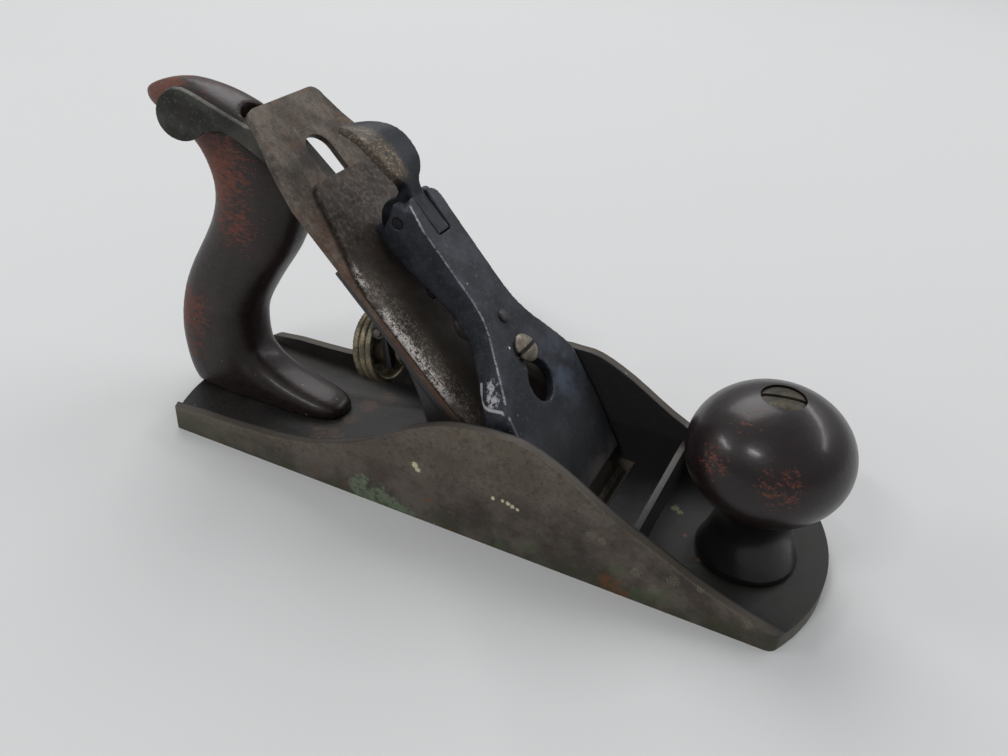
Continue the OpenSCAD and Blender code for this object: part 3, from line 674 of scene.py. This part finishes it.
def worn_wood(name, places, varnish, gloss, along=(0.4, 1, 1), hold=0.5, painted_shade_below=None):
    """Dark varnished wood with its red grain rubbed bare at the named places, the less the higher hold."""
    paint = Paint(name)
    fibre = paint.noise(1.5 * MM, 7, 0.72, 0.3, stretch=along)
    fine = paint.noise(0.5 * MM, 5, 0.74, stretch=along, shift=0.1)
    cloud = paint.noise(12 * MM, 5, 0.6)
    handled = strongest([paint.near(spot, radius, 0.8) * strength for spot, radius, strength in places])
    bare = paint.ramp(handled * 0.22 + (fibre * 0.55 + fine * 0.45), hold + 0.14, hold + 0.2)
    red = colours().wood
    wood = paint.layered(
        red,
        (shade(red, 0.4), paint.ramp(fine, 0.42, 0.6)),
        (tone(160, 108, 82), paint.ramp(fine, 0.56, 0.7) * 0.4))
    colour = paint.layered(
        varnish,
        (shade(varnish, 0.45), paint.ramp(fibre, 0.42, 0.62) * 0.7),
        (shade(varnish, 1.7), paint.ramp(cloud, 0.52, 0.7) * 0.5),
        (paint.mix(varnish, wood, 0.74), bare),
        (tone(190, 176, 160), speckle(paint, 0.2) * 0.35))
    # Painted shade: below this height the wood goes near-black, as under the knob's ball
    if painted_shade_below is not None:
        painted_shade = paint.ramp(paint.z, painted_shade_below + 1 * MM, painted_shade_below - 1 * MM)
        colour = paint.mix(colour, tone(14, 13, 13), painted_shade)
    return paint.finish(colour, 0.3 + bare * 0.25 + fine * 0.14, 0,
                        [(fibre, 0.06 * MM), (fine, 0.03 * MM), (cloud, 0.3 * MM)],
                        coat=0.24 * gloss, coat_rough=0.19, specular=0.25)


def worn_lever_cap():
    """Blue-black metal with a thin bright edge and a rubbed wing."""
    paint = Paint("lever_cap_finish")
    grain = paint.noise(1.5 * MM, 6, 0.72)
    fine = paint.noise(0.5 * MM, 4, 0.65, shift=0.2)
    cloud = paint.noise(11 * MM, 6, 0.62)
    dull = paint.ramp(paint.noise(7 * MM, 6, 0.7, shift=0.7), 0.5, 0.66)
    climb = paint.up_slope()
    blue = paint.near(slope_place(42, -14, 16), 9 * MM, 0.8) * paint.ramp(cloud, 0.35, 0.6)
    ridge = paint.stroke(slope_line(
        (112, 7.5, 22.1), (104, 9, 21.7), (79, 9, 20.7), (73, 9.7, 20.3), (68, 11.5, 19.8),
        (63, 14.3, 19.1), (58, 17.3, 18.7), (53, 20.4, 18.3), (50, 21.8, 17.6)), 0.4 * MM)
    wing = paint.patch([(slope_place(52.5, 20.8, 13.5), 3.2 * MM), (slope_place(56, 18.6, 14.5), 3 * MM)],
                       2 * MM)
    lip = paint.stroke(slope_line(
        (57.9, 17.4, 11.1), (54.2, 19.7, 9.3), (52.2, 20.9, 9.6), (50.8, 21.9, 11.2), (49.6, 22.7, 13.7),
        (48.5, 23.3, 15.8), (45.5, 23.5, 16.8)), 0.45 * MM)
    edge = paint.stroke(slope_line((45.5, 23.5, 16.8), (40, 23.8, 15.6), (30, 23.8, 13.6)), 0.35 * MM)
    low = paint.ramp(climb, 15 * MM, 9 * MM)
    flecks = paint.patch([(slope_place(up, aside, 19), radius * MM) for up, aside, radius in (
        (88.4, 4.6, 0.8), (88.2, -8, 0.7), (44.4, 13.3, 0.8), (37.2, 2.9, 0.7), (44.9, 21.2, 0.9),
        (33.9, 11.7, 0.8), (33.6, -12.1, 0.8), (61, 6, 0.5))], 0.3 * MM)
    colour = paint.layered(
        colours().cap,
        (tone(62, 66, 74), paint.ramp(cloud, 0.42, 0.66) * 0.7),
        (tone(28, 29, 31), dull * 0.5),
        (tone(104, 104, 102), paint.ramp(grain * 0.6 + fine * 0.4, 0.53, 0.65) * 0.5),
        (tone(92, 104, 124), blue * 0.6),
        (tone(150, 156, 160), ridge * paint.ramp(grain * 0.5 + fine * 0.5, 0.4, 0.54) * 0.9),
        (tone(190, 190, 194), wing * paint.ramp(grain, 0.42, 0.56) * 0.9),
        (tone(186, 186, 188), lip * 0.85),
        (tone(104, 106, 108), edge * 0.8),
        (tone(74, 74, 74), paint.ramp(climb, 48 * MM, 22 * MM) * 0.4),
        (tone(120, 112, 104), low * paint.ramp(cloud, 0.4, 0.6) * 0.5),
        (tone(206, 208, 200), flecks),
        (tone(190, 190, 186), speckle(paint, 0.4, 5 * MM) * 0.5))
    return paint.finish(colour, 0.36 + grain * 0.22, 0.55, [(grain, 0.06 * MM), (fine, 0.03 * MM)])


def worn_cam():
    """Grey-blue metal whose near half is rubbed down to brown and pale speckle."""
    paint = Paint("cam_finish")
    grain = paint.noise(1.3 * MM, 6, 0.74)
    fine = paint.noise(0.5 * MM, 4, 0.65, shift=0.3)
    cloud = paint.noise(7 * MM, 6, 0.62)
    mottle = grain * 0.6 + fine * 0.4
    side = paint.ramp(paint.y, 1.5 * MM, -3.5 * MM) * paint.ramp(paint.up_slope(), 117 * MM, 122 * MM)
    rim = paint.ramp(paint.edge(), 0.53, 0.58) * paint.ramp(grain, 0.36, 0.58)
    colour = paint.layered(
        tone(38, 41, 48),
        (tone(24, 25, 29), paint.ramp(cloud, 0.42, 0.62)),
        (tone(100, 108, 120), paint.ramp(mottle, 0.56, 0.68) * 0.35),
        (tone(76, 66, 56), side * 0.85),
        (tone(160, 146, 122), side * paint.ramp(mottle, 0.5, 0.6) * 0.6),
        (tone(46, 42, 40), side * paint.ramp(cloud, 0.5, 0.62) * 0.8),
        (tone(132, 136, 138), rim * 0.35))
    return paint.finish(colour, 0.36 + grain * 0.2, 0.65, [(grain, 0.06 * MM), (fine, 0.03 * MM)])


# Operators, one for each piece or group of like pieces

class PLANE_OT_casting(bpy.types.Operator):
    """Dress the body casting and the frog"""
    bl_idname = "plane.casting"
    bl_label = "Castings"

    def execute(self, context):
        coat(edged_piece("body", sizes().casting_round, 3), aged_iron())
        coat(cast_piece("frog", sizes().part_voxel * 1.2), lacquered_iron("frog_lacquer"))
        return {"FINISHED"}


class PLANE_OT_irons(bpy.types.Operator):
    """Dress the cutting iron, the cap iron and their screw"""
    bl_idname = "plane.irons"
    bl_label = "Irons"

    def execute(self, context):
        steel = colours().steel
        coat(edged_piece("cutting_iron", sizes().iron_round),
             mottled_steel("blade_patina", steel, 0.3, 0.7, marks=blade_marks))
        coat(edged_piece("cap_iron", sizes().iron_round),
             mottled_steel("cap_iron_patina", tone(80, 73, 67), 0.25, 0.4, 0.46, marks=cap_iron_marks))
        coat(edged_piece("cap_iron_screw"), mottled_steel("iron_screw_patina", steel, 0.4, 0.3))
        return {"FINISHED"}


class PLANE_OT_adjuster(bpy.types.Operator):
    """Make the knurled depth nut and dress the stud, yoke and pin"""
    bl_idname = "plane.adjuster"
    bl_label = "Depth adjuster"

    def execute(self, context):
        self.make_nut()
        coat(edged_piece("adjuster_stud"), mottled_steel("stud_patina", tone(96, 90, 82), 0.4, 0.3))
        coat(edged_piece("yoke"), lacquered_iron("yoke_lacquer"))
        coat(edged_piece("yoke_pin", sizes().pin_round),
             mottled_steel("yoke_pin_patina", tone(120, 114, 106)))
        return {"FINISHED"}

    def make_nut(self):
        """Turns the nut from its bore over the yoke's groove and the cup to the rear face, in mm."""
        rim = 12.7
        rim_width = 7.2
        ridge_count = 3
        ridge_groove = 0.75
        pitch = rim_width / ridge_count
        outline = [(3.1, 14.2), (5.5, 14.2), (6, 13.7), (6, 12.6), (4.4, 12.55), (4.4, 7.65), (6, 7.6),
                   (6, 3.2), (6.8, 2.1), (9.9, 2.5), (10.4, 3.4), (10.6, 6.8), (11.1, 7.2)]
        ridge_rows = []
        for k in range(ridge_count):
            top = rim_width - pitch * k
            ridge_rows += [(rim - 0.25, top - 0.12), (rim, top - 0.45), (rim, top - pitch + 0.6),
                           (rim - 0.25, top - pitch + 0.28), (rim - ridge_groove, top - pitch + 0.08)]
        outline += ridge_rows[:-1] + [(rim - 0.8, 0.05), (10, 0.12), (6, 0), (0, 0)]
        outline = [(radius * MM, height * MM) for radius, height in outline]
        nut = spun_piece("depth_nut_turned", outline, NUT_STEPS, "depth_nut",
                         Matrix.Identity(4))
        self.notch(nut.data, (rim - 0.3) * MM)
        place = Matrix.Translation(NUT_REAR) @ Matrix.Rotation(math.radians(90) - NUT_TILT, 4, "Y")
        nut.data.transform(place)
        smooth_faces(nut, TURNED_SHARP_ANGLE)
        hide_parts("depth_nut")
        coat(nut, old_brass("nut_tarnish"))

    def notch(self, mesh, beyond):
        """Moves every second row of points beyond a radius inwards, which leaves the knurl."""
        depth = sizes().knurl_depth
        for vertex in mesh.vertices:
            radius = math.hypot(vertex.co.x, vertex.co.y)
            step = round(math.atan2(vertex.co.y, vertex.co.x) / math.tau * NUT_STEPS)
            if radius > beyond and step % 2:
                vertex.co.x *= (radius - depth) / radius
                vertex.co.y *= (radius - depth) / radius


class PLANE_OT_lateral(bpy.types.Operator):
    """Dress the lateral lever, its rivet and its roller"""
    bl_idname = "plane.lateral"
    bl_label = "Lateral lever"

    def execute(self, context):
        coat(edged_piece("lateral_lever", sizes().lever_round, 3),
             mottled_steel("lateral_patina", tone(70, 70, 66), 0.3, 0.15))
        pale = tone(120, 114, 106)
        coat(edged_piece("lateral_pivot", sizes().thin_round), mottled_steel("rivet_patina", pale))
        coat(edged_piece("lateral_roller", sizes().pin_round), mottled_steel("roller_patina", pale))
        return {"FINISHED"}


class PLANE_OT_lever_cap(bpy.types.Operator):
    """Dress the lever cap with its screw, spring, rivet and pin"""
    bl_idname = "plane.lever_cap"
    bl_label = "Lever cap"

    def execute(self, context):
        coat(cast_piece("lever_cap", sizes().part_voxel), worn_lever_cap())
        coat(edged_piece("lever_cap_screw"),
             mottled_steel("cap_screw_patina", tone(132, 126, 114), 0.5, 0.1, 0.36, marks=screw_marks))
        coat(edged_piece("spring_rivet", sizes().pin_round),
             mottled_steel("spring_rivet_patina", tone(58, 57, 60), 0.3, 0.1))
        coat(edged_piece("cap_spring", sizes().thin_round),
             mottled_steel("spring_blue", tone(56, 60, 70), 0.2, 0.1))
        coat(edged_piece("cam_pin", sizes().pin_round),
             mottled_steel("cam_pin_patina", tone(44, 44, 46), 0.1, 0.1))
        return {"FINISHED"}


class PLANE_OT_cam(bpy.types.Operator):
    """Dress the cam lever"""
    bl_idname = "plane.cam"
    bl_label = "Cam lever"

    def execute(self, context):
        coat(cast_piece("cam_lever", sizes().part_voxel * 0.8), worn_cam())
        return {"FINISHED"}


class PLANE_OT_frog_screws(bpy.types.Operator):
    """Dress the frog's screws and washers"""
    bl_idname = "plane.frog_screws"
    bl_label = "Frog screws"

    def execute(self, context):
        coat(edged_piece("frog_screws"), mottled_steel("frog_screw_patina", tone(88, 84, 80)))
        coat(edged_piece("frog_washers", sizes().thin_round),
             mottled_steel("washer_patina", tone(110, 104, 98)))
        return {"FINISHED"}


class PLANE_OT_knob(bpy.types.Operator):
    """Turn the front knob and dress its rod and nut"""
    bl_idname = "plane.knob"
    bl_label = "Front knob"

    def execute(self, context):
        foot = BOX["front_knob"][0].z
        knob = spun_piece("front_knob_turned", self.outline(foot), KNOB_STEPS, "plane_body",
                          Matrix.Translation((KNOB_X, 0, 0)))
        smooth_faces(knob, TURNED_SHARP_ANGLE)
        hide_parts("front_knob")
        places = rubbed_places(Vector((KNOB_X, 0, 0)), (-6, -12, 60, 9, 0.7), (-12.5, -20, 49, 7, 0.9),
                               (7, -22.4, 48.4, 9, 0.9), (16, -6, 58, 6, 0.5))
        # The knob's base and neck, under its ball, get painted shade
        coat(knob, worn_wood("knob_varnish", places, colours().knob_varnish, 1.6, along=(0.5, 1, 1),
                             hold=0.545, painted_shade_below=foot + 24 * MM))
        coat(edged_piece("knob_bolt", sizes().pin_round), mottled_steel("knob_bolt_patina", tone(96, 90, 82)))
        # The knob's nut, sunk in the knob's top, is darkened with painted shade
        coat(edged_piece("knob_nut"), old_brass("knob_nut_tarnish_and_shade", 0.3))
        return {"FINISHED"}

    def outline(self, foot):
        """Radius and height pairs from the bore over the base, neck and ball into the nut's recess."""
        low, high = BOX["front_knob"]
        nut_low, nut_high = BOX["knob_nut"]
        radius = (high.x - low.x) / 2
        base = 15.4 * MM
        bore = 3 * MM
        middle = foot + 38.2 * MM
        tall = 19.9 * MM
        recess = (nut_high.y - nut_low.y) / 2 + 0.08 * MM
        recess_floor = foot + 51.6 * MM
        recess_rim = middle + tall * 0.962
        neck = curve_through([(base, foot + 2.2 * MM), (13.6 * MM, foot + 6.4 * MM),
                              (11.9 * MM, foot + 12 * MM), (12 * MM, foot + 17 * MM),
                              (13.6 * MM, foot + 21.6 * MM)], 8)
        ball = [(radius * math.cos(math.radians(a)), middle + tall * math.sin(math.radians(a)))
                for a in range(-50, 75, 3)]
        rows = [(bore, foot), (base - 0.6 * MM, foot), (base, foot + 0.6 * MM)]
        rows += [tuple(point) for point in neck] + ball
        rows += [(recess, recess_rim), (recess, recess_floor), (bore, recess_floor), (bore, foot)]
        return rows


class PLANE_OT_tote(bpy.types.Operator):
    """Shape the tote and dress its rod and nut"""
    bl_idname = "plane.tote"
    bl_label = "Tote"

    def execute(self, context):
        tote = cast_piece("tote", sizes().wood_voxel, 10)
        places = rubbed_places(Vector((0, 0, 0)), (-115, -9, 36, 13, 0.9), (-113, -9, 22, 8, 0.7),
                               (-95, -9, 92, 16, 1), (-90, -9, 76, 13, 0.8), (-118, -3, 112, 13, 1),
                               (-98, 2, 116, 14, 0.6), (-104, -9, 58, 9, 0.4))
        coat(tote, worn_wood("tote_varnish", places, colours().varnish, 0.5))
        coat(edged_piece("tote_bolt", sizes().pin_round), mottled_steel("tote_bolt_patina", tone(96, 90, 82)))
        # The tote's nut, sunk in the tote's top, is darkened with painted shade
        coat(edged_piece("tote_nut"), old_brass("tote_nut_tarnish_and_shade", 0.25))
        return {"FINISHED"}


class PLANE_OT_stage(bpy.types.Operator):
    """Set the floor, the lights and the camera"""
    bl_idname = "plane.stage"
    bl_label = "Studio"

    def execute(self, context):
        self.floor()
        self.light("ceiling", (-0.5, 0.68, 1.15), (0.9, 0.9), 8.7)
        self.light("tube", (0.62, 0.62, 0.7), (1.1, 0.045), 2.6)
        self.light("left_window", (-0.92, -0.42, 0.62), (0.4, 0.06), 2)
        self.light("front_window", (-0.22, -0.77, 0.93), (0.3, 0.06), 2.5)
        self.sky(context.scene)
        self.camera(context.scene)
        context.scene.view_settings.view_transform = "Standard"
        return {"FINISHED"}

    def floor(self):
        """Pale paper with painted shade under the throat, and a painted glow that makes it brighter far off.
        """
        extent = 6.0
        throat_front = 75 * MM
        throat_side = HALF_WIDTH - 2 * MM
        mesh = bpy.data.meshes.new("ground")
        corners = [(-extent, -extent, 0), (extent, -extent, 0), (extent, extent, 0), (-extent, extent, 0)]
        mesh.from_pydata(corners, [], [(0, 1, 2, 3)])
        ground = bpy.data.objects.new("ground", mesh)
        bpy.context.scene.collection.objects.link(ground)
        ground.location.z = BOX["body"][0].z
        paint = Paint("ground_paper")
        white = colours().ground
        # Painted shade: the paper seen through the throat is darkened
        under = paint.between(paint.x, 0, throat_front, 2 * MM) \
            * paint.ramp(abs(paint.y), throat_side, throat_side - 1 * MM)
        colour = paint.layered(
            white,
            (shade(white, 0.97), paint.noise(0.4, 3, 0.5)),
            (tone(40, 38, 36), under))
        # Painted light: the paper glows more the farther it lies from the plane, brightening the far floor
        apart = paint.vector("LENGTH", {0: paint.place}, "Value")
        far = paint.mix((0, 0, 0), tone(158, 158, 158), paint.ramp(apart, 0.45, 2.2))
        coat(ground, paint.finish(colour, 0.9, 0, specular=0.1, glow=far))

    def light(self, name, place, size, power):
        """An area lamp of a size in metres, turned to the middle of the plane."""
        lamp = bpy.data.lights.new(name, "AREA")
        lamp.shape = "RECTANGLE"
        lamp.size, lamp.size_y = size
        lamp.energy = power
        made = bpy.data.objects.new(name, lamp)
        bpy.context.scene.collection.objects.link(made)
        made.location = place
        aim = LAMP_AIM - Vector(place)
        made.rotation_euler = aim.to_track_quat("-Z", "Y").to_euler()

    def sky(self, scene):
        """Light that grows with height, and a pale backdrop that the camera alone sees."""
        low_light = 0.36
        high_light = 0.5
        backdrop = 0.68
        world = bpy.data.worlds.new("studio")
        world.use_nodes = True
        nodes = Nodes(world.node_tree)
        way = nodes.node("ShaderNodeTexCoord", output="Generated")
        height = nodes.node("ShaderNodeSeparateXYZ", inputs={0: way}, output="Z")
        level = nodes.node("ShaderNodeMapRange", {"interpolation_type": "SMOOTHSTEP"}, {
            "Value": height, "From Min": 0.15, "From Max": 0.5, "To Min": low_light, "To Max": high_light})
        seen = nodes.node("ShaderNodeLightPath", output="Is Camera Ray")
        strength = nodes.node("ShaderNodeMix", inputs={"Factor": seen, "A": level, "B": backdrop})
        shine = nodes.node("ShaderNodeBackground", inputs={"Color": (0.92, 0.94, 0.96, 1),
                                                           "Strength": strength})
        nodes.node("ShaderNodeOutputWorld", inputs={"Surface": shine})
        scene.world = world

    def camera(self, scene):
        data = bpy.data.cameras.new("camera")
        data.sensor_width = CAMERA_SENSOR
        data.lens = CAMERA_LENS
        data.clip_start = 0.01
        made = bpy.data.objects.new("camera", data)
        made.location = CAMERA_AT
        made.rotation_euler = CAMERA_TURN
        scene.collection.objects.link(made)
        scene.camera = made


OPERATORS = (
    PLANE_OT_casting, PLANE_OT_frog_screws, PLANE_OT_irons, PLANE_OT_adjuster, PLANE_OT_lateral,
    PLANE_OT_lever_cap, PLANE_OT_cam, PLANE_OT_knob, PLANE_OT_tote, PLANE_OT_stage,
)


class PLANE_PT_sidebar(bpy.types.Panel):
    """Lists the pieces of the plane"""
    bl_idname = "PLANE_PT_sidebar"
    bl_label = "Smoothing plane"
    bl_space_type = "VIEW_3D"
    bl_region_type = "UI"
    bl_category = "Plane"

    def draw(self, context):
        for operator in OPERATORS:
            self.layout.operator(operator.bl_idname)
        for group in (context.scene.plane_sizes, context.scene.plane_colours):
            column = self.layout.column()
            for key in group.__annotations__:
                column.prop(group, key)


CLASSES = (PlaneSizes, PlaneColours, *OPERATORS, PLANE_PT_sidebar)


def register():
    for made in CLASSES:
        bpy.utils.register_class(made)
    bpy.types.Scene.plane_sizes = PointerProperty(type=PlaneSizes)
    bpy.types.Scene.plane_colours = PointerProperty(type=PlaneColours)


def unregister():
    del bpy.types.Scene.plane_colours
    del bpy.types.Scene.plane_sizes
    for made in reversed(CLASSES):
        bpy.utils.unregister_class(made)


def main():
    register()
    for operator in OPERATORS:
        group, name = operator.bl_idname.split(".")
        if getattr(getattr(bpy.ops, group), name)() != {"FINISHED"}:
            raise RuntimeError(f"{operator.bl_idname} did not finish")


if __name__ == "__main__":
    main()
